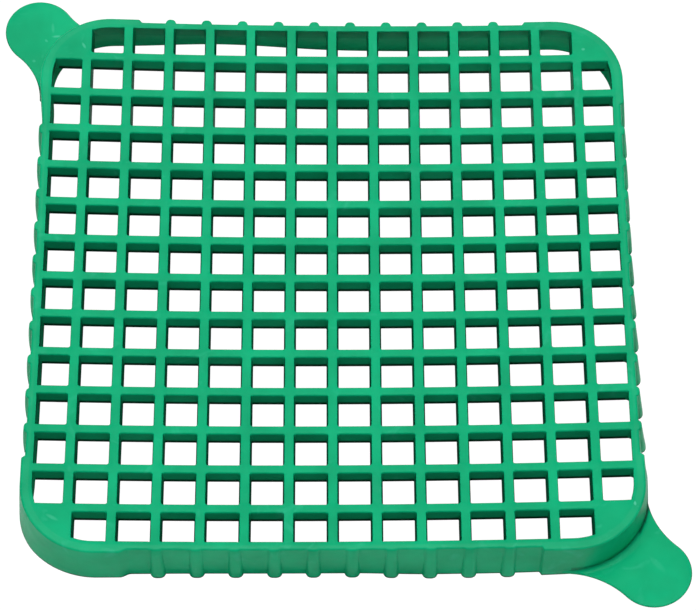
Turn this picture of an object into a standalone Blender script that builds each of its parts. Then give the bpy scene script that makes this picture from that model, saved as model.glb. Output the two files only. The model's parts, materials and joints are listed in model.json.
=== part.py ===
"""Queen excluder cap: a square grid of square openings on a low flared skirt, with two finger tabs.

The real object is one injection-moulded piece. Each functional feature of the moulding is its own
solid here: the bars of the grid, the four ribbed side walls, the four rounded corner walls, the webs
that close the corner cells, and the two finger tabs.

Units are metres and +Z points up through the grid. The origin is under the middle of the grid, on
the plane that the lowest edge of the skirt stands on. "Front" is -Y, "back" is +Y, "left" is -X.
"""

import math

import bmesh
import bpy
from mathutils import Matrix, Vector

MM = 0.001

# Grid. The bars are moulded with draft: wider underneath than on top.
PITCH = 6.0 * MM
BARS_EACH_WAY = 13
BAR_WIDTH = 1.77 * MM
BAR_TOP_WIDTH = 1.33 * MM
BAR_DEPTH = 2.5 * MM

# Skirt, in plan at the level of the grid's top face, as half-widths from the centre
RIM_INNER = 40.9 * MM
PANEL_OUTER = 42.1 * MM
CORNER_OUTER = 42.6 * MM
CORNER_RADIUS = 10.2 * MM
PANEL_HALF_LENGTH = 28.3 * MM
SKIRT_HEIGHT = 7.3 * MM
FLARE = 0.85 * MM

# Half-round ribs on the side walls, which stand out less at their tops than at their feet
RIBS_PER_SIDE = 10
RIB_SPACING = 5.3 * MM
RIB_WIDTH = 1.8 * MM
RIB_HEIGHT = 0.62 * MM
RIB_TOP_HEIGHT = 0.4 * MM
RIB_STEPS = 6

# Finger tabs: a round end on the diagonal, faired into the corner with two hollow curves
TAB_CENTRE = 43.6 * MM
TAB_RADIUS = 5.2 * MM
TAB_FAIRING_RADIUS = 9.4 * MM
TAB_FAIRING_START = math.radians(8)
TAB_THICKNESS = 0.9 * MM

# The moulding is dished: its edges stand higher than its centre, and the tab corners highest
DISH_RADIUS = 42.0 * MM
DISH_RISE = 1.23 * MM
DISH_TWIST = 0.49 * MM

# Clearance between neighbouring solids, and the distance within which curve caps are welded
GAP = 0.05 * MM
WELD = 0.001 * MM
COPLANAR = math.radians(1)

PLASTIC_COLOUR = (0.005, 0.43, 0.165, 1.0)
PLASTIC_ROUGHNESS = 0.42

CORNER_CENTRE = CORNER_OUTER - CORNER_RADIUS
OUTER_BAR = (BARS_EACH_WAY - 1) / 2 * PITCH
WEB_EDGE = OUTER_BAR - BAR_WIDTH / 2
ARC_STEPS = 10

SIDES = {"front": -90, "right": 0, "back": 90, "left": 180}
CORNERS = {
    "front_left": (-1, -1),
    "front_right": (1, -1),
    "back_left": (-1, 1),
    "back_right": (1, 1),
}
TAB_CORNERS = ("back_left", "front_right")


def dish(x, y):
    """How far the dished moulding stands above its centre at a point of the plan."""
    return (DISH_RISE * (x * x + y * y) - DISH_TWIST * x * y) / DISH_RADIUS**2


def lowest_dish(reach):
    """The least rise of the dish along a side at this distance from the centre."""
    return (DISH_RISE - DISH_TWIST**2 / (4 * DISH_RISE)) * (reach / DISH_RADIUS) ** 2


# The skirt stands on the inner edge of its foot, at the lowest point of each side.
TOP = SKIRT_HEIGHT - lowest_dish(RIM_INNER + FLARE)


def clear_scene():
    for obj in list(bpy.data.objects):
        bpy.data.objects.remove(obj, do_unlink=True)


def green_plastic(name):
    material = bpy.data.materials.new(name)
    material.use_nodes = True
    shader = material.node_tree.nodes["Principled BSDF"]
    shader.inputs["Base Color"].default_value = PLASTIC_COLOUR
    shader.inputs["Roughness"].default_value = PLASTIC_ROUGHNESS
    shader.inputs["Metallic"].default_value = 0.0
    material.diffuse_color = PLASTIC_COLOUR
    return material


def arc(centre, radius, start, end, steps=ARC_STEPS):
    """Points on an arc in the XY plane, both ends included, with the angles in radians."""
    points = []
    for step in range(steps + 1):
        angle = start + (end - start) * step / steps
        points.append(centre + radius * Vector((math.cos(angle), math.sin(angle))))
    return points


def cut_at_stations(shape, placement):
    """Adds edges halfway between the bars in both directions, so that a long piece can be dished."""
    to_local = placement.inverted()
    for axis in (Vector((1, 0, 0)), Vector((0, 1, 0))):
        across = to_local.to_3x3() @ axis
        for index in range(BARS_EACH_WAY + 1):
            station = (index - BARS_EACH_WAY / 2) * PITCH
            everything = list(shape.verts) + list(shape.edges) + list(shape.faces)
            bmesh.ops.bisect_plane(
                shape, geom=everything, plane_co=to_local @ (axis * station), plane_no=across
            )


def slab_from_outline(name, outline, thickness, placement):
    """A flat outline given a thickness about its own plane, as a mesh object placed by a matrix."""
    curve = bpy.data.curves.new(name + "_outline", "CURVE")
    curve.dimensions = "2D"
    curve.fill_mode = "BOTH"
    curve.extrude = thickness / 2
    spline = curve.splines.new("POLY")
    spline.points.add(len(outline) - 1)
    for point, (x, y) in zip(spline.points, outline):
        point.co = (x, y, 0, 1)
    spline.use_cyclic_u = True
    guide = bpy.data.objects.new(name + "_outline", curve)
    bpy.context.scene.collection.objects.link(guide)
    graph = bpy.context.evaluated_depsgraph_get()
    mesh = bpy.data.meshes.new_from_object(guide.evaluated_get(graph))
    bpy.data.objects.remove(guide)
    bpy.data.curves.remove(curve)

    shape = bmesh.new()
    shape.from_mesh(mesh)
    bmesh.ops.remove_doubles(shape, verts=shape.verts, dist=WELD)
    bmesh.ops.recalc_face_normals(shape, faces=shape.faces)
    bmesh.ops.dissolve_limit(
        shape, angle_limit=COPLANAR, verts=shape.verts, edges=shape.edges
    )
    cut_at_stations(shape, placement)
    shape.to_mesh(mesh)
    shape.free()

    obj = bpy.data.objects.new(name, mesh)
    obj.matrix_world = placement
    mesh.name = name
    mesh.materials.clear()
    mesh.materials.append(green_plastic(name + "_plastic"))
    COLLECTION.objects.link(obj)
    obj.parent = ROOT
    return obj


def move_vertices(obj, rule):
    """Moves every vertex by rule(point), which takes and returns a place in world space."""
    to_world = obj.matrix_world.copy()
    to_local = to_world.inverted()
    for vertex in obj.data.vertices:
        vertex.co = to_local @ rule(to_world @ vertex.co)


def dished(point):
    return Vector((point.x, point.y, point.z + dish(point.x, point.y)))


def flared(point):
    """Pushes a point of the skirt outwards, square to the rounded square plan, more at its foot."""
    across = Vector((max(abs(point.x) - CORNER_CENTRE, 0), max(abs(point.y) - CORNER_CENTRE, 0)))
    across.normalize()
    push = FLARE * (TOP - point.z) / SKIRT_HEIGHT
    x = point.x + math.copysign(across.x * push, point.x)
    y = point.y + math.copysign(across.y * push, point.y)
    return Vector((x, y, point.z))


def bar_width_at(depth):
    """Width of a bar at a depth below its top face."""
    return BAR_TOP_WIDTH + (BAR_WIDTH - BAR_TOP_WIDTH) * depth / BAR_DEPTH


def bar_outline(half_length, crossings, notch_on_top):
    """A bar seen from its side: a long strip, half cut away where each crossing bar laps it."""
    lap = (BAR_DEPTH + GAP) / 2
    notched, plain = (0, BAR_DEPTH) if notch_on_top else (BAR_DEPTH, 0)
    floor = lap if notch_on_top else BAR_DEPTH - lap
    mouth_half = bar_width_at(notched) / 2 + GAP
    floor_half = bar_width_at(floor) / 2 + GAP
    outline = [(-half_length, -notched)]
    for place in crossings:
        outline += [
            (place - mouth_half, -notched),
            (place - floor_half, -floor),
            (place + floor_half, -floor),
            (place + mouth_half, -notched),
        ]
    outline.append((half_length, -notched))
    outline.append((half_length, -plain))
    outline.append((-half_length, -plain))
    return outline


def with_draft(bar, axis, place):
    """Narrows a bar towards its top, about the line that it runs along."""

    def narrowed(point):
        point[axis] = place + (point[axis] - place) * bar_width_at(TOP - point.z) / BAR_WIDTH
        return point

    move_vertices(bar, narrowed)


def make_bars():
    """The grid: bars along X notched on top, bars along Y notched underneath and laid into them."""
    places = [(index - BARS_EACH_WAY // 2) * PITCH for index in range(BARS_EACH_WAY)]
    stand_up = Matrix.Rotation(math.radians(90), 4, "X")
    turn = Matrix.Rotation(math.radians(90), 4, "Z")
    for number, place in enumerate(places, start=1):
        is_outermost = number in (1, BARS_EACH_WAY)
        reach = (WEB_EDGE if is_outermost else RIM_INNER) - GAP
        crossings = places[1:-1] if is_outermost else places
        along_x = Matrix.Translation((0, place, TOP)) @ stand_up
        outline = bar_outline(reach, crossings, notch_on_top=True)
        bar = slab_from_outline(f"grid_bar_x_{number:02d}", outline, BAR_WIDTH, along_x)
        with_draft(bar, 1, place)
        move_vertices(bar, dished)
        along_y = Matrix.Translation((place, 0, TOP)) @ turn @ stand_up
        outline = bar_outline(reach, crossings, notch_on_top=False)
        bar = slab_from_outline(f"grid_bar_y_{number:02d}", outline, BAR_WIDTH, along_y)
        with_draft(bar, 0, place)
        move_vertices(bar, dished)


def rib_points(centre):
    """The half-round bump of one rib, along a wall whose panel faces +Y."""
    half = RIB_WIDTH / 2
    radius = (half**2 + RIB_HEIGHT**2) / (2 * RIB_HEIGHT)
    spread = math.asin(half / radius)
    middle = Vector((centre, PANEL_OUTER + RIB_HEIGHT - radius))
    quarter = math.radians(90)
    return arc(middle, radius, quarter + spread, quarter - spread, RIB_STEPS)


def make_side_wall(side, turn_degrees):
    """A recessed wall with its ribs, drawn along the back and turned to its own side."""
    half = PANEL_HALF_LENGTH - GAP
    outline = [Vector((-half, PANEL_OUTER))]
    for number in range(RIBS_PER_SIDE):
        outline += rib_points((number - (RIBS_PER_SIDE - 1) / 2) * RIB_SPACING)
    outline.append(Vector((half, PANEL_OUTER)))
    outline.append(Vector((half, RIM_INNER)))
    outline.append(Vector((-half, RIM_INNER)))
    turn = Matrix.Rotation(math.radians(turn_degrees - 90), 4, "Z")
    middle = Matrix.Translation((0, 0, TOP - SKIRT_HEIGHT / 2))
    wall = slab_from_outline(f"side_wall_{side}", outline, SKIRT_HEIGHT, middle @ turn)
    axis = 0 if side in ("left", "right") else 1

    def lowered(point):
        over = abs(point[axis]) - PANEL_OUTER
        if over > 0:
            height = RIB_TOP_HEIGHT + (RIB_HEIGHT - RIB_TOP_HEIGHT) * (TOP - point.z) / SKIRT_HEIGHT
            point[axis] = math.copysign(PANEL_OUTER + over * height / RIB_HEIGHT, point[axis])
        return point

    move_vertices(wall, lowered)
    move_vertices(wall, flared)
    move_vertices(wall, dished)


def mirrored(outline, sign_x, sign_y):
    return [Vector((sign_x * x, sign_y * y)) for x, y in outline]


def make_corner_wall(corner, sign_x, sign_y):
    """The rounded corner of the skirt, with the straight runs that reach to the recessed panels."""
    centre = Vector((CORNER_CENTRE, CORNER_CENTRE))
    quarter = math.radians(90)
    outline = [Vector((CORNER_OUTER, PANEL_HALF_LENGTH))]
    outline += arc(centre, CORNER_RADIUS, 0, quarter)
    outline.append(Vector((PANEL_HALF_LENGTH, CORNER_OUTER)))
    outline.append(Vector((PANEL_HALF_LENGTH, RIM_INNER)))
    outline += arc(centre, RIM_INNER - CORNER_CENTRE, quarter, 0)
    outline.append(Vector((RIM_INNER, PANEL_HALF_LENGTH)))
    middle = Matrix.Translation((0, 0, TOP - SKIRT_HEIGHT / 2))
    outline = mirrored(outline, sign_x, sign_y)
    wall = slab_from_outline(f"corner_wall_{corner}", outline, SKIRT_HEIGHT, middle)
    move_vertices(wall, flared)
    move_vertices(wall, dished)


def make_corner_web(corner, sign_x, sign_y):
    """The solid web that closes the corner cell and joins the outermost bars to the corner wall."""
    centre = Vector((CORNER_CENTRE, CORNER_CENTRE))
    radius = RIM_INNER - GAP - CORNER_CENTRE
    start = math.asin((WEB_EDGE - CORNER_CENTRE) / radius)
    outline = [Vector((WEB_EDGE, WEB_EDGE))]
    outline += arc(centre, radius, start, math.radians(90) - start)
    middle = Matrix.Translation((0, 0, TOP - BAR_DEPTH / 2))
    outline = mirrored(outline, sign_x, sign_y)
    web = slab_from_outline(f"corner_web_{corner}", outline, BAR_DEPTH, middle)
    move_vertices(web, dished)


def tab_outline():
    """The plan of a tab in the +X +Y corner: round end, two hollow fairings, and the corner's arc."""
    wall = CORNER_OUTER + FLARE + GAP
    fairing = TAB_FAIRING_RADIUS
    across = wall + fairing - TAB_CENTRE
    along = math.sqrt((TAB_RADIUS + fairing) ** 2 - across**2)
    hollow = Vector((wall + fairing, TAB_CENTRE - along))
    meets = math.atan2(along, across)
    half_turn = math.radians(180)
    first = arc(hollow, fairing, half_turn - TAB_FAIRING_START, half_turn - meets)
    centre = Vector((TAB_CENTRE, TAB_CENTRE))
    end = arc(centre, TAB_RADIUS, -meets, math.radians(90) + meets, 2 * ARC_STEPS)
    second = [Vector((y, x)) for x, y in reversed(first)]
    corner = Vector((CORNER_CENTRE, CORNER_CENTRE))
    radius = wall - CORNER_CENTRE
    root = math.asin((first[0].y - CORNER_CENTRE) / radius)
    inner = arc(corner, radius, math.radians(90) - root, root)
    return first + end[1:-1] + second + inner


def make_finger_tab(corner, sign_x, sign_y):
    """A flat tab level with the foot of the skirt, tilted to follow the dish at its round end."""
    outline = mirrored(tab_outline(), sign_x, sign_y)
    x, y = sign_x * TAB_CENTRE, sign_y * TAB_CENTRE
    slope_x = (2 * DISH_RISE * x - DISH_TWIST * y) / DISH_RADIUS**2
    slope_y = (2 * DISH_RISE * y - DISH_TWIST * x) / DISH_RADIUS**2
    middle = Matrix.Translation((0, 0, TOP - SKIRT_HEIGHT + TAB_THICKNESS / 2))
    tab = slab_from_outline(f"finger_tab_{corner}", outline, TAB_THICKNESS, middle)

    def tilted(point):
        rise = dish(x, y) + slope_x * (point.x - x) + slope_y * (point.y - y)
        return Vector((point.x, point.y, point.z + rise))

    move_vertices(tab, tilted)


clear_scene()
COLLECTION = bpy.data.collections.new("queen_excluder")
bpy.context.scene.collection.children.link(COLLECTION)
ROOT = bpy.data.objects.new("queen_excluder_root", None)
COLLECTION.objects.link(ROOT)

make_bars()
for side_name, side_angle in SIDES.items():
    make_side_wall(side_name, side_angle)
for corner_name, signs in CORNERS.items():
    make_corner_wall(corner_name, *signs)
    make_corner_web(corner_name, *signs)
for corner_name in TAB_CORNERS:
    make_finger_tab(corner_name, *CORNERS[corner_name])
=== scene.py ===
"""Looks of a queen excluder cap: one green plastic moulding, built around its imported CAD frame.

Every piece here is a closed mesh that stands for CAD nodes of the same name and place. Lengths are in
millimetres while a mesh is being made, and +Z is up through the grid, as in the frame.
"""

import json
import math

import bpy
from mathutils import Matrix, Vector
from mathutils.geometry import delaunay_2d_cdt


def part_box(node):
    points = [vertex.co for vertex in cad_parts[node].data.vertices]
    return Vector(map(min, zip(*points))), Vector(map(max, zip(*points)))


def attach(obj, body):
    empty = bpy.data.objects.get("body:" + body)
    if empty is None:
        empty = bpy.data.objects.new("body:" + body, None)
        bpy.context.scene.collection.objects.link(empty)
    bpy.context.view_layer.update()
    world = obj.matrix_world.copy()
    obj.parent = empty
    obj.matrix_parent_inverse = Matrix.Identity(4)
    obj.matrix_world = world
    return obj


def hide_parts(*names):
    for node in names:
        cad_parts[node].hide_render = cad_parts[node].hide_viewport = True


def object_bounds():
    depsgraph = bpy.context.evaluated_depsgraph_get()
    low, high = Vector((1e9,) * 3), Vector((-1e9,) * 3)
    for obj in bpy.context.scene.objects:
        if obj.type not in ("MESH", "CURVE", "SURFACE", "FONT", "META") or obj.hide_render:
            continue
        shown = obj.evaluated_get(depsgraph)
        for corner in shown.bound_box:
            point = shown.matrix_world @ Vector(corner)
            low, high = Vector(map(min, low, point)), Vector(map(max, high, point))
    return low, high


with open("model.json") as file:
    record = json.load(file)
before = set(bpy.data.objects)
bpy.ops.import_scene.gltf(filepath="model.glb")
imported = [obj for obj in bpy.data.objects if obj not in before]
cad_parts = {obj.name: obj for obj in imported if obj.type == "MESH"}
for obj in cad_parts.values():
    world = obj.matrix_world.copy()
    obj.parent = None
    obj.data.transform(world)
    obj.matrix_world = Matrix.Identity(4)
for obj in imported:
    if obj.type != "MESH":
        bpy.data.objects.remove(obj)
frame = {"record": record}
cad_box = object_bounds()

MM = 0.001

# Sizes of the moulding, the same as the frame's
BARS_EACH_WAY = 13
BAR_WIDTH = 1.77
BAR_TOP_WIDTH = 1.33
BAR_DEPTH = 2.5
RIM_INNER = 40.9
PANEL_OUTER = 42.1
CORNER_OUTER = 42.6
CORNER_RADIUS = 10.2
PANEL_HALF_LENGTH = 28.3
SKIRT_HEIGHT = 7.3
FLARE = 0.85
RIBS_PER_SIDE = 10
RIB_SPACING = 5.3
TAB_CENTRE = 43.6
TAB_RADIUS = 5.2
TAB_FAIRING_RADIUS = {"front_right": 11.5, "back_left": 9.2}
TAB_THICKNESS = 0.9
DISH_RADIUS = 42.0
DISH_RISE = 1.23
DISH_TWIST = 0.49

# Details that only the looks have
RIB_WIDTH = 2.1
RIB_TOP_WIDTH = 1.5
RIB_HEIGHT = 0.66
RIB_TOP_HEIGHT = {"front": 0.14, "right": 0.4, "back": 0.64, "left": 0.4}
OPENING_CORNER = 0.07
TOP_ROUND = 0.13
FRONT_EDGE_ROUND = 0.28
FRONT_EDGE_TAPER = 0.12
UNDER_ROUND = 0.28
RIM_ROUND = 0.34
FOOT_ROUND = 0.24
BACK_SET = 0.15
SEAM_TOP = 41.45
SEAM_UNDER = 41.72
TAB_TOP_ROUND = 0.2
TAB_UNDER_ROUND = 0.55
TAB_FILLET = 0.8
TAB_ROOT = 0.7

# How far the dark cards under the object reach past its foot, all round and more towards the back: they
# are painted shadow, dark sheets standing in for the floor's shade under the object, seen only by bounced
# and reflected light
SKIRT_SHADE = 0.3
SKIRT_SHADE_BEHIND = 5.5
TAB_SHADE = 1.0
TAB_SHADE_BEHIND = 2.0

# Colours of the plastic: its clouds from dark to pale, its scuffs, its marks, and the painted shade on its
# lower edges, creases and turned-away faces
CLOUD_COLOURS = [
    (0.32, (0.0010, 0.418, 0.180, 1)),
    (0.50, (0.0014, 0.468, 0.204, 1)),
    (0.68, (0.0022, 0.520, 0.230, 1)),
]
SCUFF_COLOUR = (0.05, 0.60, 0.36, 1)
MARK_COLOUR = (0.10, 0.66, 0.42, 1)
PAINTED_SHADE_COLOUR = (0.0004, 0.030, 0.014, 1)
WALL_GLOSS = 0.13
TOP_GLOSS = 0.07

# Camera: directions in degrees, lengths in millimetres, and where it aims beside the middle of the grid
CAMERA_ELEVATION = 62.2178
CAMERA_AZIMUTH = -0.8196
CAMERA_ROLL = 0.6807
CAMERA_DISTANCE = 413.04
CAMERA_LENS = 150.67
AIM_RIGHT = 2.1996
AIM_DOWN = 3.7647

# Lights: distance and size in metres, and the dome's strength at the horizon and what it adds overhead
LIGHT_DISTANCE = 1.4
LIGHT_SIZE = 0.35
DOME_BASE = 0.02
DOME_OVERHEAD = 6.6
DOME_FALL = 14

# Pale moulding marks: where in the plan, half length, half width, turn in degrees, and strength
WEB_MARKS = [
    (37.0, 37.5, 0.35, 0.3, 0, 0.6),
    (-36.5, 37.7, 0.7, 0.25, -62, 0.6),
    (-38.0, -37.5, 1.2, 0.35, -28, 0.3),
]
RIM_MARKS = [(40.9, -35.9, 0.45, 0.25, 100, 0.8)]
TAB_MARKS = [
    (-41.2, 43.0, 0.85, 0.25, 8, 0.6),
    (-42.7, 42.2, 0.4, 0.25, 135, 0.4),
    (-41.8, 44.4, 1.1, 0.3, 95, 0.25),
    (-44.4, 38.7, 0.35, 0.3, 0, 0.35),
    (44.2, -42.5, 1.9, 0.6, -51, 0.12),
]

CORNER_CENTRE = CORNER_OUTER - CORNER_RADIUS
SIDES = {"front": (0, -1), "right": (1, 0), "back": (0, 1), "left": (-1, 0)}
CORNERS = {"front": "front_right", "right": "back_right", "back": "back_left", "left": "front_left"}
TAB_CORNERS = ("front_right", "back_left")

# How long the step at each end of a recessed panel takes, as (start, end) of the side
STEP_LENGTHS = {
    "front": (1.5, 0.4),
    "right": (0.5, 0.5),
    "back": (0.5, 0.6),
    "left": (7.5, 0.5),
}


def node_middle(name):
    low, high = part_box(name)
    return (low + high) / 2 / MM


def dish(x, y):
    """How far the dished moulding stands above its centre at a point of the plan."""
    return (DISH_RISE * (x * x + y * y) - DISH_TWIST * x * y) / DISH_RADIUS**2


mounts = {mount["name"]: mount for mount in frame["record"]["mounts"]}
centre_mount = Vector(mounts["grid_centre_top"]["pos_m"]) / MM
TOP = centre_mount.z - dish(centre_mount.x, centre_mount.y)
first_bar = node_middle("grid_bar_y_01").x
last_bar = node_middle(f"grid_bar_y_{BARS_EACH_WAY:02d}").x
PITCH = (last_bar - first_bar) / (BARS_EACH_WAY - 1)


# ---------------------------------------------------------------- making meshes


def add_piece(name, points, faces, replaced, material):
    """A closed mesh piece from points in millimetres, riding on the frame in place of CAD nodes."""
    mesh = bpy.data.meshes.new(name)
    mesh.from_pydata([Vector(p) * MM for p in points], [], faces)
    mesh.validate()
    mesh.shade_smooth()
    mesh.set_sharp_from_angle(angle=math.radians(48))
    mesh.materials.append(material)
    piece = bpy.data.objects.new(name, mesh)
    bpy.context.scene.collection.objects.link(piece)
    weighted = piece.modifiers.new("even_flats", "WEIGHTED_NORMAL")
    weighted.mode = "FACE_AREA"
    weighted.weight = 50
    weighted.keep_sharp = True
    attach(piece, "root")
    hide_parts(*replaced)
    return piece


def dished(x, y, depth):
    """A point of the moulding at a depth below its top face, with the dish added."""
    return Vector((x, y, TOP - depth + dish(x, y)))


def smooth_step(t):
    t = min(max(t, 0.0), 1.0)
    return t * t * (3 - 2 * t)


# ---------------------------------------------------------------- the skirt


def rib_height(side, offset, share):
    """Height of a rib at a distance from its middle, square-shouldered, and lower towards its top."""
    half = (RIB_TOP_WIDTH + (RIB_WIDTH - RIB_TOP_WIDTH) * share) / 2
    t = abs(offset) / half
    if t >= 1:
        return 0.0
    top_height = RIB_TOP_HEIGHT[side]
    return (top_height + (RIB_HEIGHT - top_height) * share) * (1 - t**3) ** 0.7


def outer_reach(side, s, depth):
    """How far out the wall's face stands from the centre, at a distance along a side and a depth."""
    if side not in SIDES:
        return CORNER_OUTER
    start_length, end_length = STEP_LENGTHS[side]
    length = end_length if s > 0 else start_length
    corner = smooth_step((abs(s) - PANEL_HALF_LENGTH) / length + 0.5)
    nearest = round(s / RIB_SPACING + (RIBS_PER_SIDE - 1) / 2)
    nearest = min(max(nearest, 0), RIBS_PER_SIDE - 1)
    offset = s - (nearest - (RIBS_PER_SIDE - 1) / 2) * RIB_SPACING
    rib = rib_height(side, offset, depth / SKIRT_HEIGHT)
    return PANEL_OUTER + max((CORNER_OUTER - PANEL_OUTER) * corner, rib)


def side_stations(side):
    """Distances along a side at which the skirt's section is drawn."""
    places = {-CORNER_CENTRE, CORNER_CENTRE}
    for end, length in zip((-1, 1), STEP_LENGTHS[side]):
        for step in range(9):
            places.add(end * (PANEL_HALF_LENGTH + length * (step / 8 - 0.5)))
    for number in range(RIBS_PER_SIDE):
        middle = (number - (RIBS_PER_SIDE - 1) / 2) * RIB_SPACING
        for offset in (0.0, 0.3, 0.5, 0.64, 0.73, 0.8, 0.87, 0.93, 0.99, 1.06, RIB_SPACING / 2):
            places.add(middle + offset)
            places.add(middle - offset)
    for step in range(-15, 16):
        places.add(step * 2.0)
    ordered = sorted(place for place in places if abs(place) <= CORNER_CENTRE)
    return [place for place, following in zip(ordered, ordered[1:] + [99]) if following - place > 0.02]


def splay(x, y):
    """Extra lean of the thin walls at their feet, where this moulding has sprung out or drawn in."""
    back = 0.25 * smooth_step((y - 30) / 8)
    back += 0.95 * math.exp(-(((x + 16.5) / 12.5) ** 2)) * smooth_step((y - 36) / 4)
    left = -0.62 * smooth_step((-x - 34) / 5) * smooth_step((38 - abs(y)) / 8)
    front = -0.28 * smooth_step((-y - 34) / 6) * smooth_step((14 - x) / 12) * smooth_step((x + 42) / 8)
    right = -0.2 * smooth_step((x - 34) / 5) * math.exp(-(((y - 15) / 14) ** 2))
    near_left = 0.3 * math.exp(-((x + 37) ** 2 + (y + 38) ** 2) / 12**2)
    near_right = -0.25 * math.exp(-((x - 37) ** 2 + (y + 40) ** 2) / 8**2)
    near_right += 0.3 * math.exp(-((x - 41) ** 2 + (y + 29) ** 2) / 6**2)
    return back + left + front + right + near_left + near_right


def set_back(place):
    """How far the outer face behind the back of the rim stands inside its plan."""
    return BACK_SET * smooth_step((place.y - 34) / 6)


def lean(place, depth):
    """How far out the skirt has leaned at a depth below the rim, at a place in the plan."""
    share = depth / SKIRT_HEIGHT
    return FLARE * share + splay(place.x, place.y) * share**2


def skirt_sections():
    """Sections round the skirt, as (side or corner, distance along it, middle, outward direction)."""
    sections = []
    for side, (out_x, out_y) in SIDES.items():
        out = Vector((out_x, out_y))
        along = Vector((-out_y, out_x))
        for s in side_stations(side):
            sections.append((side, s, along * s + out * CORNER_CENTRE, out))
        corner = (along + out) * CORNER_CENTRE
        for step in range(1, 20):
            angle = math.radians(90) * step / 20
            direction = out * math.cos(angle) + along * math.sin(angle)
            sections.append((side + "_corner", 0, corner, direction))
    return sections


def skirt_profile(side, s):
    """The section of the skirt as (distance out, depth) before it leans, from the seam with the grid."""

    def outer(depth):
        return outer_reach(side, s, depth) - CORNER_CENTRE

    inner = RIM_INNER - CORNER_CENTRE
    profile = [(SEAM_TOP - CORNER_CENTRE, 0.0)]
    for step in range(5):
        angle = math.radians(90) * step / 4
        depth = RIM_ROUND * (1 - math.cos(angle))
        profile.append((outer(depth) - RIM_ROUND * (1 - math.sin(angle)), depth))
    for share in (0.2, 0.4, 0.6, 0.8):
        profile.append((outer(SKIRT_HEIGHT * share), SKIRT_HEIGHT * share))
    for step in range(4):
        angle = math.radians(90) * step / 3
        depth = SKIRT_HEIGHT - FOOT_ROUND * (1 - math.sin(angle))
        profile.append((outer(depth) - FOOT_ROUND * (1 - math.cos(angle)), depth))
    for step in range(4):
        angle = math.radians(90) * (1 - step / 3)
        depth = SKIRT_HEIGHT - FOOT_ROUND * (1 - math.sin(angle))
        profile.append((inner + FOOT_ROUND * (1 - math.cos(angle)), depth))
    for depth in (SKIRT_HEIGHT * 0.8, SKIRT_HEIGHT * 0.6, BAR_DEPTH + 0.5, BAR_DEPTH):
        profile.append((inner, depth))
    profile.append((SEAM_UNDER - CORNER_CENTRE, BAR_DEPTH))
    return profile


def section_points(section):
    side, s, middle, out = section
    rim = middle + out * (RIM_INNER - CORNER_CENTRE)
    profile = skirt_profile(side, s)
    lowest = cad_box[0][2] / MM
    points = []
    for index, (distance, depth) in enumerate(profile):
        on_seam = index in (0, len(profile) - 1)
        leaned = 0.0 if on_seam else lean(rim, depth)
        place = middle + out * (distance + leaned)
        if distance > SEAM_TOP - CORNER_CENTRE and not on_seam:
            place.y -= set_back(rim)
        point = dished(place.x, place.y, depth)
        point.z = max(point.z, lowest)
        points.append(point)
    return points


def sweep(sections):
    """A closed solid through a run of sections, capped at both ends."""
    points = []
    for section in sections:
        points += section_points(section)
    size = len(points) // len(sections)
    faces = []
    for row in range(len(sections) - 1):
        for column in range(size):
            following = (column + 1) % size
            a, b = row * size + column, row * size + following
            faces.append((a, b, b + size, a + size))
    faces.append(tuple(reversed(range(size))))
    faces.append(tuple(range((len(sections) - 1) * size, len(sections) * size)))
    return points, faces


def make_skirt(material, tab_material):
    """Four side walls and four corner walls that meet in plain straight wall."""
    sections = skirt_sections()
    cuts = []
    for index, section in enumerate(sections):
        if section[0] in SIDES and abs(section[1]) < CORNER_CENTRE:
            cuts.append(index)
    for side in SIDES:
        run = [index for index in cuts if sections[index][0] == side]
        first, last = run[0], run[-1]
        wall = sections[first - 1 : last + 2]
        points, faces = sweep(wall)
        add_piece(f"ribbed_wall_{side}", points, faces, [f"side_wall_{side}"], material)
        start = last + 1
        corner = [sections[(start + step) % len(sections)] for step in range(21)]
        points, faces = sweep(corner)
        name = CORNERS[side]
        finish = tab_material if name in TAB_CORNERS else material
        add_piece(f"round_corner_{name}", points, faces, [f"corner_wall_{name}"], finish)
    return sections


# ---------------------------------------------------------------- the grid


def rim_direction(x, y):
    """The outward direction of the rounded square at a point of the plan near its rim."""
    across = Vector((max(abs(x) - CORNER_CENTRE, 0), max(abs(y) - CORNER_CENTRE, 0)))
    across.normalize()
    return Vector((math.copysign(across.x, x), math.copysign(across.y, y)))


def opening_corners(column, row):
    """The sharp outline of one opening, counter-clockwise, kept inside the rim's inner face."""
    last = BARS_EACH_WAY
    low_x = first_bar + (column - 1) * PITCH + BAR_WIDTH / 2 if column else -RIM_INNER
    high_x = first_bar + column * PITCH - BAR_WIDTH / 2 if column < last else RIM_INNER
    low_y = first_bar + (row - 1) * PITCH + BAR_WIDTH / 2 if row else -RIM_INNER
    high_y = first_bar + row * PITCH - BAR_WIDTH / 2 if row < last else RIM_INNER
    sharp = [(low_x, low_y), (high_x, low_y), (high_x, high_y), (low_x, high_y)]
    outline = []
    for index, start in enumerate(sharp):
        end = sharp[(index + 1) % 4]
        steps = 6 if crosses_corner(start) or crosses_corner(end) else 1
        for step in range(steps):
            share = step / steps
            x = start[0] + (end[0] - start[0]) * share
            y = start[1] + (end[1] - start[1]) * share
            outline.append(pulled_inside(x, y))
    return without_repeats(outline)


def crosses_corner(point):
    return pulled_inside(*point) != Vector(point)


def pulled_inside(x, y):
    """Moves a point that is past the rounded corner of the rim straight back along the side's normal."""
    over_x, over_y = abs(x) - CORNER_CENTRE, abs(y) - CORNER_CENTRE
    radius = RIM_INNER - CORNER_CENTRE
    if over_x <= 0 or over_y <= 0 or over_x**2 + over_y**2 <= radius**2:
        return Vector((x, y))
    if over_x > over_y:
        x = math.copysign(CORNER_CENTRE + math.sqrt(radius**2 - over_y**2), x)
    else:
        y = math.copysign(CORNER_CENTRE + math.sqrt(radius**2 - over_x**2), y)
    return Vector((x, y))


def without_repeats(outline):
    kept = []
    for point in outline:
        if not kept or (point - kept[-1]).length > 0.02:
            kept.append(point)
    return kept


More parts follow.
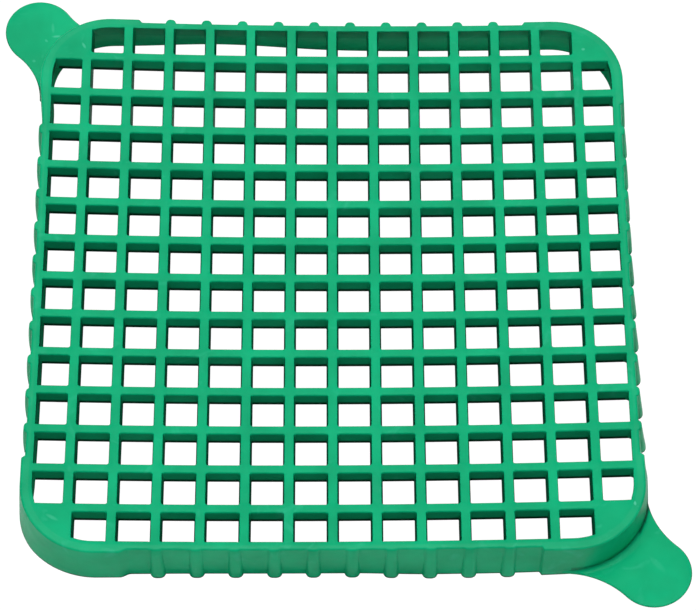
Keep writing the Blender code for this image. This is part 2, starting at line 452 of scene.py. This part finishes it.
def rounded(corners):
    """Points round an outline with its sharp corners rounded, each with its outward normal."""
    count = len(corners)
    ring = []
    for index, corner in enumerate(corners):
        before = (corner - corners[index - 1]).normalized()
        after = (corners[(index + 1) % count] - corner).normalized()
        normal_in = Vector((before.y, -before.x))
        normal_out = Vector((after.y, -after.x))
        turn = math.acos(min(max(normal_in.dot(normal_out), -1), 1))
        mitre = (normal_in + normal_out) / (1 + normal_in.dot(normal_out))
        if turn < math.radians(20):
            ring.append((corner, mitre))
            continue
        middle = corner - mitre * OPENING_CORNER
        start = math.atan2(normal_in.y, normal_in.x)
        for step in range(5):
            angle = start + turn * step / 4
            normal = Vector((math.cos(angle), math.sin(angle)))
            ring.append((middle + normal * OPENING_CORNER, normal))
    return ring


def opening_rings(column, row):
    """Rings of points down the wall of an opening, from its rounded top edge to the underside."""
    outline = rounded(opening_corners(column, row))
    levels = []
    for step in range(4):
        angle = math.radians(90) * step / 3
        levels.append((1 - math.sin(angle), 1 - math.cos(angle), 0.0, False))
    levels.append((0.0, 0.0, BAR_DEPTH / 2, False))
    for step in range(3):
        angle = math.radians(90) * step / 2
        out = UNDER_ROUND * (1 - math.cos(angle))
        levels.append((out, 0.0, BAR_DEPTH - UNDER_ROUND * (1 - math.sin(angle)), True))
    on_rim = column in (0, BARS_EACH_WAY) or row in (0, BARS_EACH_WAY)
    rings = []
    for out, drop, level, is_under in levels:
        ring = []
        for place, normal in outline:
            facing = 0.0
            direction = rim_direction(place.x, place.y)
            if on_rim and max(abs(place.x), abs(place.y)) > RIM_INNER - 1.2:
                facing = max(0.0, normal.normalized().dot(direction)) ** 2
            front = max(0.0, normal.normalized().y) ** 2 * (1 - facing)
            edge_round = TOP_ROUND + (FRONT_EDGE_ROUND - TOP_ROUND) * front
            taper = (BAR_WIDTH - BAR_TOP_WIDTH) / 2 + FRONT_EDGE_TAPER * front
            depth = level + drop * edge_round
            away = out * (1 - facing) if is_under else out * edge_round
            away += taper * (1 - depth / BAR_DEPTH) * (1 - facing)
            spot = place + normal * away + direction * (facing * lean(place, depth))
            ring.append(dished(spot.x, spot.y, depth))
        rings.append(ring)
    return rings


def flat_region(outer, holes):
    """Triangles that fill the plan between an outline and convex holes, as index triples.

    A triangle with all its corners on one hole lies inside that hole, so it is left out.
    """
    loops = [outer] + holes
    places, edges, owner = [], [], []
    for number, loop in enumerate(loops):
        start = len(places)
        count = len(loop)
        places += [Vector((point.x, point.y)) for point in loop]
        owner += [number] * count
        edges += [(start + step, start + (step + 1) % count) for step in range(count)]
    made = delaunay_2d_cdt(places, edges, [], 1, 1e-6)
    sources = made[3]
    triangles = []
    for face in made[2]:
        corners = [sources[index][0] for index in face]
        owners = {owner[index] for index in corners}
        if len(owners) == 1 and owners != {0}:
            continue
        triangles.append(corners)
    return triangles


def make_grid(sections, material):
    """The lattice of bars with its corner webs, one closed solid out to the seam inside the rim."""
    seam_top, seam_under = [], []
    for _, _, middle, out in sections:
        upper = middle + out * (SEAM_TOP - CORNER_CENTRE)
        lower = middle + out * (SEAM_UNDER - CORNER_CENTRE)
        seam_top.append(dished(upper.x, upper.y, 0.0))
        seam_under.append(dished(lower.x, lower.y, BAR_DEPTH))
    openings = []
    for row in range(BARS_EACH_WAY + 1):
        for column in range(BARS_EACH_WAY + 1):
            is_corner = column in (0, BARS_EACH_WAY) and row in (0, BARS_EACH_WAY)
            if not is_corner:
                openings.append(opening_rings(column, row))

    points = seam_top + [point for rings in openings for point in rings[0]]
    top_faces = flat_region(seam_top, [rings[0] for rings in openings])
    under_start = len(points)
    points += seam_under + [point for rings in openings for point in rings[-1]]
    under_faces = flat_region(seam_under, [rings[-1] for rings in openings])
    faces = [tuple(face) for face in top_faces]
    faces += [tuple(under_start + index for index in reversed(face)) for face in under_faces]

    count = len(seam_top)
    for step in range(count):
        following = (step + 1) % count
        faces.append((step, under_start + step, under_start + following, following))
    top_start = count
    bottom_start = under_start + count
    for rings in openings:
        size = len(rings[0])
        starts = [top_start]
        for ring in rings[1:-1]:
            starts.append(len(points))
            points += ring
        starts.append(bottom_start)
        for upper, lower in zip(starts, starts[1:]):
            for step in range(size):
                following = (step + 1) % size
                faces.append((upper + step, upper + following, lower + following, lower + step))
        top_start += size
        bottom_start += size
    bars = [f"grid_bar_{axis}_{number:02d}" for axis in "xy" for number in range(1, 14)]
    webs = [f"corner_web_{corner}" for corner in CORNERS.values()]
    return add_piece("bee_grid", points, faces, bars + webs, material)


# ---------------------------------------------------------------- the finger tabs


def arc(centre, radius, start, end, steps):
    points = []
    for step in range(steps + 1):
        angle = start + (end - start) * step / steps
        points.append(centre + radius * Vector((math.cos(angle), math.sin(angle))))
    return points


def tab_edge(corner):
    """The free edge of a tab, drawn in the +X +Y corner: hollow, round end, hollow."""
    fairing = TAB_FAIRING_RADIUS[corner]
    wall = CORNER_OUTER + FLARE - 0.12
    across = wall + fairing - TAB_CENTRE
    along = math.sqrt((TAB_RADIUS + fairing) ** 2 - across**2)
    hollow = Vector((wall + fairing, TAB_CENTRE - along))
    meets = math.atan2(along, across)
    half_turn = math.radians(180)
    first = arc(hollow, fairing, half_turn, half_turn - meets, 24)
    centre = Vector((TAB_CENTRE, TAB_CENTRE))
    end = arc(centre, TAB_RADIUS, -meets, math.radians(90) + meets, 44)
    second = [Vector((y, x)) for x, y in reversed(first)]
    return first + end[1:-1] + second


def fillet_rise(distance, extra_lean):
    """Height of the hollow fillet between a tab and the wall, at a distance from the corner's centre."""
    slope = FLARE / SKIRT_HEIGHT
    wall = CORNER_RADIUS + FLARE - slope * TAB_THICKNESS + extra_lean
    middle = wall + TAB_FILLET * (math.sqrt(1 + slope**2) - slope)
    if distance >= middle:
        return 0.0
    touch = middle - TAB_FILLET / math.sqrt(1 + slope**2)
    over = middle - max(distance, touch)
    return TAB_FILLET - math.sqrt(max(TAB_FILLET**2 - over**2, 0.0))


def make_tab(corner, sign_x, sign_y, material):
    """A thin tab with a rounded edge, and a hollow fillet where it runs into the corner wall."""
    edge = tab_edge(corner)
    count = len(edge)
    corner_middle = Vector((CORNER_CENTRE, CORNER_CENTRE))
    root_radius = CORNER_RADIUS + FLARE - TAB_ROOT
    start = math.atan2(edge[0].y - CORNER_CENTRE, edge[0].x - CORNER_CENTRE)
    root = arc(corner_middle, root_radius, start, math.radians(90) - start, count - 1)
    normals = []
    for index in range(count):
        before, after = edge[max(index - 1, 0)], edge[min(index + 1, count - 1)]
        tangent = (after - before).normalized()
        normals.append(Vector((tangent.y, -tangent.x)))

    tip_x, tip_y = sign_x * TAB_CENTRE, sign_y * TAB_CENTRE
    slope_x = (2 * DISH_RISE * tip_x - DISH_TWIST * tip_y) / DISH_RADIUS**2
    slope_y = (2 * DISH_RISE * tip_y - DISH_TWIST * tip_x) / DISH_RADIUS**2
    level = TOP - SKIRT_HEIGHT + dish(tip_x, tip_y) + 0.02

    def placed(place, height):
        x, y = sign_x * place.x, sign_y * place.y
        return Vector((x, y, level + height + slope_x * (x - tip_x) + slope_y * (y - tip_y)))

    def rise_at(place):
        out = (place - corner_middle).normalized() * (RIM_INNER - CORNER_CENTRE)
        rim = corner_middle + out
        share = 1 - TAB_THICKNESS / SKIRT_HEIGHT
        extra_lean = splay(sign_x * rim.x, sign_y * rim.y) * share**2
        return fillet_rise((place - corner_middle).length, extra_lean)

    rows = []
    shares = [0, 0.05, 0.1, 0.15, 0.2, 0.25, 0.3, 0.36, 0.43, 0.52, 0.64, 0.76, 0.88, 1.0]
    inset = [edge[index] - normals[index] * TAB_TOP_ROUND for index in range(count)]
    for share in shares:
        row = []
        for index in range(count):
            place = root[index].lerp(inset[index], share)
            row.append(placed(place, TAB_THICKNESS + rise_at(place)))
        rows.append(row)
    for step in range(1, 5):
        angle = math.radians(90) * step / 4
        out = TAB_TOP_ROUND * (1 - math.sin(angle))
        drop = TAB_TOP_ROUND * (1 - math.cos(angle))
        row = []
        for index in range(count):
            place = edge[index] - normals[index] * out
            rise = rise_at(place) * (1 - step / 4)
            row.append(placed(place, TAB_THICKNESS - drop + rise))
        rows.append(row)
    for step in range(1, 7):
        angle = math.radians(90) * step / 6
        out = TAB_UNDER_ROUND * (1 - math.cos(angle))
        height = (TAB_THICKNESS - TAB_TOP_ROUND) * (1 - math.sin(angle))
        rows.append([placed(edge[i] - normals[i] * out, height) for i in range(count)])
    under = [edge[index] - normals[index] * TAB_UNDER_ROUND for index in range(count)]
    for share in (0.7, 0.4, 0.2, 0.0):
        rows.append([placed(root[i].lerp(under[i], share), 0.0) for i in range(count)])

    points = [point for row in rows for point in row]
    faces = []
    for row in range(len(rows)):
        following_row = (row + 1) % len(rows)
        for column in range(count - 1):
            a, b = row * count + column, following_row * count + column
            faces.append((a, a + 1, b + 1, b))
    faces.append(tuple(row * count for row in reversed(range(len(rows)))))
    faces.append(tuple(row * count + count - 1 for row in range(len(rows))))
    if sign_x * sign_y > 0:
        faces = [tuple(reversed(face)) for face in faces]
    return add_piece(f"tab_blade_{corner}", points, faces, [f"finger_tab_{corner}"], material)


# ---------------------------------------------------------------- materials


def moulded_plastic(name, marks, painted_shade_bands, edge_shade, gloss_level):
    """Green injection-moulded plastic: faint flow clouds, scuffs, fine grain and a soft uneven gloss.

    Painted shade darkens lower edges and creases: each band gives the depths, in millimetres below the
    dished top face, where the painted shade starts and where it is full, how strong it is, and the least
    and the greatest reach at which it acts. Faces that turn away from the front get painted shade by the
    edge shade.
    Faces that look straight down keep the plain colour.
    """
    material = bpy.data.materials.new(name)
    material.use_nodes = True
    nodes, links = material.node_tree.nodes, material.node_tree.links
    shader = nodes["Principled BSDF"]
    place = nodes.new("ShaderNodeTexCoord")

    def noise(scale, detail, roughness):
        node = nodes.new("ShaderNodeTexNoise")
        node.inputs["Scale"].default_value = scale
        node.inputs["Detail"].default_value = detail
        node.inputs["Roughness"].default_value = roughness
        links.new(place.outputs["Object"], node.inputs["Vector"])
        return node

    def ramp(source, stops):
        node = nodes.new("ShaderNodeValToRGB")
        node.color_ramp.elements[0].position, node.color_ramp.elements[0].color = stops[0]
        node.color_ramp.elements[1].position, node.color_ramp.elements[1].color = stops[-1]
        for position, colour in stops[1:-1]:
            node.color_ramp.elements.new(position).color = colour
        links.new(source, node.inputs["Fac"])
        return node

    clouds = noise(140, 3.0, 0.55)
    tint = ramp(clouds.outputs["Fac"], CLOUD_COLOURS)

    def mixed(factor, under, over):
        node = nodes.new("ShaderNodeMix")
        node.data_type = "RGBA"
        links.new(factor, node.inputs["Factor"])
        links.new(under, node.inputs["A"])
        node.inputs["B"].default_value = over
        return node.outputs["Result"]

    scuffs = noise(230, 2.0, 0.5)
    scuffs.inputs["Distortion"].default_value = 1.6
    scuffed = nodes.new("ShaderNodeMapRange")
    scuffed.inputs["From Min"].default_value = 0.62
    scuffed.inputs["From Max"].default_value = 0.8
    scuffed.inputs["To Max"].default_value = 0.3
    links.new(scuffs.outputs["Fac"], scuffed.inputs["Value"])
    colour = mixed(scuffed.outputs["Result"], tint.outputs["Color"], SCUFF_COLOUR)

    def in_range(value, start, full, strength):
        node = nodes.new("ShaderNodeMapRange")
        node.interpolation_type = "SMOOTHSTEP"
        node.inputs["From Min"].default_value = start
        node.inputs["From Max"].default_value = full
        node.inputs["To Max"].default_value = strength
        links.new(value, node.inputs["Value"])
        return node.outputs["Result"]

    sums = Sums(nodes, links)
    split = nodes.new("ShaderNodeSeparateXYZ")
    links.new(place.outputs["Object"], split.inputs["Vector"])
    x, y, z = split.outputs
    for middle_x, middle_y, length, width, turn, strength in marks:
        spread = spread_round_mark(sums, x, y, middle_x, middle_y, length, width, math.radians(turn))
        colour = mixed(in_range(spread, 1.0, 0.3, strength), colour, MARK_COLOUR)

    surface = nodes.new("ShaderNodeNewGeometry")
    facing = nodes.new("ShaderNodeSeparateXYZ")
    links.new(surface.outputs["Normal"], facing.inputs["Vector"])
    not_under = in_range(facing.outputs["Z"], -0.75, -0.5, 1.0)
    depth = depth_below_top(sums, x, y, z)
    reach = reach_from_corners(sums, x, y)
    # Painted shade: each band darkens a lower edge or crease towards the painted shade colour
    for start, full, strength, least, greatest in painted_shade_bands:
        band = in_range(depth, start, full, strength)
        band = sums.do("MULTIPLY", band, sums.do("GREATER_THAN", reach, least))
        band = sums.do("MULTIPLY", band, sums.do("LESS_THAN", reach, greatest))
        band = sums.do("MULTIPLY", band, not_under)
        colour = mixed(band, colour, PAINTED_SHADE_COLOUR)

    # Painted shade: faces that tilt away from straight up and do not face the front are darkened by the
    # edge shade
    tilted = in_range(sums.do("SUBTRACT", 1.0, facing.outputs["Z"]), 0.06, 0.3, edge_shade)
    not_front = in_range(facing.outputs["Y"], -0.5, -0.2, 1.0)
    turned_away_painted_shade = sums.do("MULTIPLY", sums.do("MULTIPLY", tilted, not_front), not_under)
    colour = mixed(turned_away_painted_shade, colour, PAINTED_SHADE_COLOUR)
    links.new(colour, shader.inputs["Base Color"])

    gloss = noise(420, 4.0, 0.6)
    rough = nodes.new("ShaderNodeMapRange")
    rough.inputs["To Min"].default_value = 0.27
    rough.inputs["To Max"].default_value = 0.42
    links.new(gloss.outputs["Fac"], rough.inputs["Value"])
    links.new(rough.outputs["Result"], shader.inputs["Roughness"])

    grain = noise(5200, 2.0, 0.5)
    waves = noise(260, 2.0, 0.4)
    fine = nodes.new("ShaderNodeBump")
    fine.inputs["Strength"].default_value = 0.12
    fine.inputs["Distance"].default_value = 0.00003
    links.new(grain.outputs["Fac"], fine.inputs["Height"])
    broad = nodes.new("ShaderNodeBump")
    broad.inputs["Strength"].default_value = 0.35
    broad.inputs["Distance"].default_value = 0.0004
    links.new(waves.outputs["Fac"], broad.inputs["Height"])
    links.new(fine.outputs["Normal"], broad.inputs["Normal"])
    links.new(broad.outputs["Normal"], shader.inputs["Normal"])
    shader.inputs["Specular IOR Level"].default_value = gloss_level
    return material


class Sums:
    """Adds arithmetic nodes to a material; an operand is a number or a socket."""

    def __init__(self, nodes, links):
        self.nodes, self.links = nodes, links

    def do(self, operation, *values):
        node = self.nodes.new("ShaderNodeMath")
        node.operation = operation
        for socket, value in zip(node.inputs, values):
            if isinstance(value, float):
                socket.default_value = value
            else:
                self.links.new(value, socket)
        return node.outputs["Value"]


def spread_round_mark(sums, x, y, middle_x, middle_y, length, width, turn):
    """A socket that is 0 at the middle of a long mark and 1 at its edge."""
    from_x = sums.do("SUBTRACT", x, middle_x * MM)
    from_y = sums.do("SUBTRACT", y, middle_y * MM)
    cosine, sine = math.cos(turn) / MM, math.sin(turn) / MM
    along_x = sums.do("MULTIPLY", from_x, cosine / length)
    along = sums.do("ADD", along_x, sums.do("MULTIPLY", from_y, sine / length))
    across_y = sums.do("MULTIPLY", from_y, cosine / width)
    across = sums.do("SUBTRACT", across_y, sums.do("MULTIPLY", from_x, sine / width))
    squares = sums.do("ADD", sums.do("MULTIPLY", along, along), sums.do("MULTIPLY", across, across))
    return sums.do("SQRT", squares)


def depth_below_top(sums, x, y, z):
    """A socket with the depth in millimetres of a shaded point below the moulding's dished top face."""
    radius = DISH_RADIUS * MM
    squares = sums.do("ADD", sums.do("MULTIPLY", x, x), sums.do("MULTIPLY", y, y))
    rise = sums.do("MULTIPLY", squares, DISH_RISE / radius**2)
    twist = sums.do("MULTIPLY", sums.do("MULTIPLY", x, y), DISH_TWIST / radius**2)
    height = sums.do("MULTIPLY", z, 1 / MM)
    return sums.do("SUBTRACT", sums.do("ADD", sums.do("SUBTRACT", rise, twist), TOP), height)


def reach_from_corners(sums, x, y):
    """A socket with the distance in millimetres out from the square through the corners' centres."""
    squares = []
    for axis in (x, y):
        past = sums.do("SUBTRACT", sums.do("MULTIPLY", sums.do("ABSOLUTE", axis), 1 / MM), CORNER_CENTRE)
        past = sums.do("MAXIMUM", past, 0.0)
        squares.append(sums.do("MULTIPLY", past, past))
    return sums.do("SQRT", sums.do("ADD", *squares))


def floor_surface():
    material = bpy.data.materials.new("pale_floor")
    material.use_nodes = True
    shader = material.node_tree.nodes["Principled BSDF"]
    shader.inputs["Base Color"].default_value = (0.06, 0.06, 0.06, 1)
    shader.inputs["Roughness"].default_value = 0.9
    shader.inputs["Specular IOR Level"].default_value = 0.0
    shader.inputs["Emission Color"].default_value = (1, 1, 1, 1)
    shader.inputs["Emission Strength"].default_value = 1.0
    return material


tab_top = SKIRT_HEIGHT - TAB_THICKNESS - 0.02
bar_reach = RIM_INNER - CORNER_CENTRE - 0.2
outer_face = PANEL_OUTER - CORNER_CENTRE
# Painted shade bands: a dark line along the skirt's foot, on the corner wall just above each tab, along
# the bars' lower edges and in each tab's fillet; the grid and the tabs also get painted shade on faces
# turned away from the front
foot_painted_shade = (SKIRT_HEIGHT - 0.55, SKIRT_HEIGHT - 0.25, 0.9, outer_face, 99.0)
tab_crease_painted_shade = (tab_top - 1.4, tab_top - 0.5, 0.6, outer_face, 99.0)
bar_under_edge_painted_shade = (BAR_DEPTH - 0.95, BAR_DEPTH - 0.6, 0.95, -1.0, bar_reach)
tab_fillet_painted_shade = (tab_top - 0.02, tab_top - 0.5, 0.55, -1.0, 99.0)
wall_plastic = moulded_plastic("green_wall", [], [foot_painted_shade], 0.0, WALL_GLOSS)
tab_wall_plastic = moulded_plastic("green_wall_at_tab", RIM_MARKS, [tab_crease_painted_shade], 0.0, WALL_GLOSS)
grid_plastic = moulded_plastic("green_grid", WEB_MARKS, [bar_under_edge_painted_shade], 0.6, TOP_GLOSS)
tab_plastic = moulded_plastic("green_tab", TAB_MARKS, [tab_fillet_painted_shade], 0.75, TOP_GLOSS)
skirt_run = make_skirt(wall_plastic, tab_wall_plastic)
make_grid(skirt_run, grid_plastic)
make_tab("front_right", 1, -1, tab_plastic)
make_tab("back_left", -1, 1, tab_plastic)


# ---------------------------------------------------------------- floor, lights and camera


def make_floor():
    half = 3.0
    mesh = bpy.data.meshes.new("floor")
    corners = [(-half, -half, 0), (half, -half, 0), (half, half, 0), (-half, half, 0)]
    mesh.from_pydata(corners, [], [(0, 1, 2, 3)])
    mesh.materials.append(floor_surface())
    floor = bpy.data.objects.new("floor", mesh)
    bpy.context.scene.collection.objects.link(floor)


def make_card(name, outline, height, grey):
    """A matt card on the floor, as used in studios: the light that bounces sees it, the camera doesn't."""
    mesh = bpy.data.meshes.new(name)
    mesh.from_pydata([(x * MM, y * MM, height) for x, y in outline], [], [tuple(range(len(outline)))])
    material = bpy.data.materials.new(name)
    material.use_nodes = True
    shader = material.node_tree.nodes["Principled BSDF"]
    shader.inputs["Base Color"].default_value = (grey, grey, grey, 1)
    shader.inputs["Roughness"].default_value = 1.0
    shader.inputs["Specular IOR Level"].default_value = 0.0
    mesh.materials.append(material)
    card = bpy.data.objects.new(name, mesh)
    card.visible_camera = False
    card.visible_shadow = False
    bpy.context.scene.collection.objects.link(card)


def under_skirt():
    """The plan of the skirt at its foot, with a margin all round it that is wider behind."""
    outline = []
    radius = CORNER_RADIUS + FLARE + SKIRT_SHADE
    for quarter, (x, y) in enumerate([(1, 1), (-1, 1), (-1, -1), (1, -1)]):
        start = math.radians(90) * quarter
        middle = Vector((x, y)) * CORNER_CENTRE
        if y > 0:
            middle.y += SKIRT_SHADE_BEHIND
        outline += arc(middle, radius, start, start + math.radians(90), 10)
    return outline


def under_tab(corner, sign_x, sign_y):
    """The plan of a tab with a margin round its end that is wider behind."""
    edge = tab_edge(corner)
    outline = []
    for index, place in enumerate(edge):
        before, after = edge[max(index - 1, 0)], edge[min(index + 1, len(edge) - 1)]
        tangent = (after - before).normalized()
        normal = Vector((tangent.y, -tangent.x))
        place = place + normal * TAB_SHADE
        behind = TAB_SHADE_BEHIND if normal.y * sign_y > 0 else 0.0
        outline.append((sign_x * place.x, sign_y * place.y + behind))
    return outline


def soft_light(name, azimuth, elevation, watts):
    """A round white softbox aimed at the object, placed by its direction from it in degrees."""
    light = bpy.data.lights.new(name, "AREA")
    light.shape = "DISK"
    light.size = LIGHT_SIZE
    light.energy = watts
    a, e = math.radians(azimuth), math.radians(elevation)
    away = Vector((math.sin(a) * math.cos(e), -math.cos(a) * math.cos(e), math.sin(e)))
    lamp = bpy.data.objects.new(name, light)
    lamp.location = away * LIGHT_DISTANCE
    lamp.rotation_euler = away.to_track_quat("Z", "Y").to_euler()
    bpy.context.scene.collection.objects.link(lamp)


def make_sky():
    """A soft studio dome, brightest overhead and falling off towards the horizon."""
    world = bpy.data.worlds.new("studio")
    world.use_nodes = True
    nodes, links = world.node_tree.nodes, world.node_tree.links
    direction = nodes.new("ShaderNodeTexCoord")
    split = nodes.new("ShaderNodeSeparateXYZ")
    links.new(direction.outputs["Generated"], split.inputs["Vector"])
    fall = nodes.new("ShaderNodeMath")
    fall.operation = "POWER"
    fall.inputs[1].default_value = DOME_FALL
    fall.use_clamp = True
    links.new(split.outputs["Z"], fall.inputs[0])
    nodes["Background"].inputs["Color"].default_value = (1, 1, 1, 1)
    scaled = nodes.new("ShaderNodeMath")
    scaled.operation = "MULTIPLY_ADD"
    scaled.inputs[1].default_value = DOME_OVERHEAD
    scaled.inputs[2].default_value = DOME_BASE
    links.new(fall.outputs["Value"], scaled.inputs[0])
    links.new(scaled.outputs["Value"], nodes["Background"].inputs["Strength"])
    bpy.context.scene.world = world


def make_camera():
    """A long lens above the front edge, looking down at the grid from a little off its middle."""
    elevation, azimuth = math.radians(CAMERA_ELEVATION), math.radians(CAMERA_AZIMUTH)
    roll = math.radians(CAMERA_ROLL)
    back = Vector(
        (
            math.sin(azimuth) * math.cos(elevation),
            -math.cos(azimuth) * math.cos(elevation),
            math.sin(elevation),
        )
    )
    level = Vector((0, 0, 1)).cross(back).normalized()
    upright = back.cross(level)
    right = level * math.cos(roll) + upright * math.sin(roll)
    up = upright * math.cos(roll) - level * math.sin(roll)
    aim = Vector((0, 0, TOP)) + right * AIM_RIGHT - up * AIM_DOWN
    camera = bpy.data.cameras.new("camera")
    camera.lens = CAMERA_LENS
    camera.sensor_width = 36
    camera.clip_start = 0.01
    camera.clip_end = 20
    holder = bpy.data.objects.new("camera", camera)
    turn = Matrix((right, up, back)).transposed().to_4x4()
    holder.matrix_world = Matrix.Translation((aim + back * CAMERA_DISTANCE) * MM) @ turn
    bpy.context.scene.collection.objects.link(holder)
    bpy.context.scene.camera = holder


make_floor()
make_card("pale_card", [(-900, -900), (900, -900), (900, 900), (-900, 900)], 0.00001, 0.8)
# Painted shadow: the dark cards stand in for the floor's shade under the skirt and tabs, and the back card
# is a paler patch standing in for brighter bounced light under the back of the grid
make_card("dark_card", under_skirt(), 0.00003, 0.01)
make_card("back_card", [(-39, 26), (39, 26), (39, 40.5), (-39, 40.5)], 0.00005, 0.6)
make_card("dark_card_front_right", under_tab("front_right", 1, -1), 0.00004, 0.01)
make_card("dark_card_back_left", under_tab("back_left", -1, 1), 0.00004, 0.01)
soft_light("back", 178, 62, 0.9)
soft_light("low_back_left", 210, 14, 1.6)
make_camera()

make_sky()
bpy.context.scene.view_settings.view_transform = "Standard"
